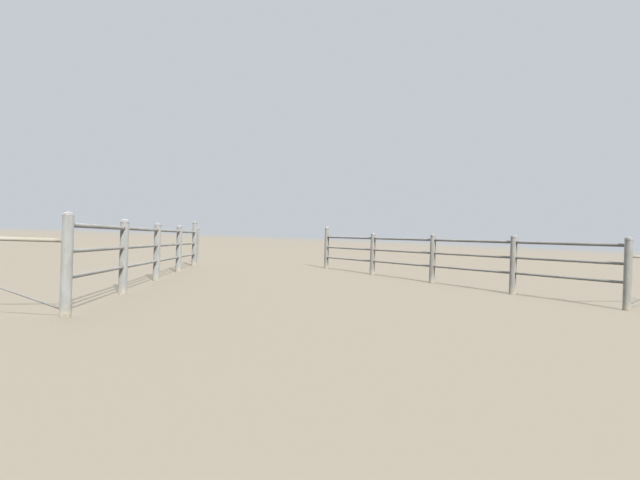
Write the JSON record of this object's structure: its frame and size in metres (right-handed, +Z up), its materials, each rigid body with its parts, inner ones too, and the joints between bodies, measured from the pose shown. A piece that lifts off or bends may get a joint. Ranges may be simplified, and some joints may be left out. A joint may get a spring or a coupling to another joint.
{
  "type": "flared pipe fence entrance",
  "caption": "Flared welded pipe-fence entrance: wings draw in from the road to taller gate posts, with coped rails, domed post caps and a braced bay at each road end.",
  "frame": {"origin": "centre of the left gate post's foot, at the lowest ground level", "axes": "+X across the gateway to the right gate post, +Y through the gateway and away from the road, +Z up"},
  "size_m": [15.9065, 12.7601, 1.772],
  "materials": {
    "post_paint": "pale grey brushed-on oil paint over mill pipe, satin, weathered",
    "rail_paint": "pale grey brushed-on oil paint over mill pipe, satin, weathered",
    "cap_paint": "pale grey oil paint over cast steel, satin",
    "brace_paint": "cream-white oil paint over mill pipe, satin, weathered",
    "rod_paint": "pale grey oil paint, thin and weathered"
  },
  "bodies": {
    "root": {"left_post_1": "post_paint", "left_post_2": "post_paint", "left_post_3": "post_paint", "left_post_4": "post_paint", "left_post_5": "post_paint", "right_post_1": "post_paint", "right_post_2": "post_paint", "right_post_3": "post_paint", "right_post_4": "post_paint", "right_post_5": "post_paint", "left_top_rail_1": "rail_paint", "left_middle_rail_1": "rail_paint", "left_low_rail_1": "rail_paint", "left_top_rail_2": "rail_paint", "left_middle_rail_2": "rail_paint", "left_low_rail_2": "rail_paint", "left_top_rail_3": "rail_paint", "left_middle_rail_3": "rail_paint", "left_low_rail_3": "rail_paint", "left_top_rail_4": "rail_paint", "left_middle_rail_4": "rail_paint", "left_low_rail_4": "rail_paint", "right_top_rail_1": "rail_paint", "right_middle_rail_1": "rail_paint", "right_low_rail_1": "rail_paint", "right_top_rail_2": "rail_paint", "right_middle_rail_2": "rail_paint", "right_low_rail_2": "rail_paint", "right_top_rail_3": "rail_paint", "right_middle_rail_3": "rail_paint", "right_low_rail_3": "rail_paint", "right_top_rail_4": "rail_paint", "right_middle_rail_4": "rail_paint", "right_low_rail_4": "rail_paint", "left_caps": "cap_paint", "left_brace_post": "post_paint", "left_brace_pipe": "brace_paint", "left_brace_rod": "rod_paint", "right_caps": "cap_paint", "right_brace_post": "post_paint", "right_brace_pipe": "brace_paint", "right_brace_rod": "rod_paint", "drive_post": "post_paint", "drive_post_cap": "cap_paint"}
  },
  "joints": []
}
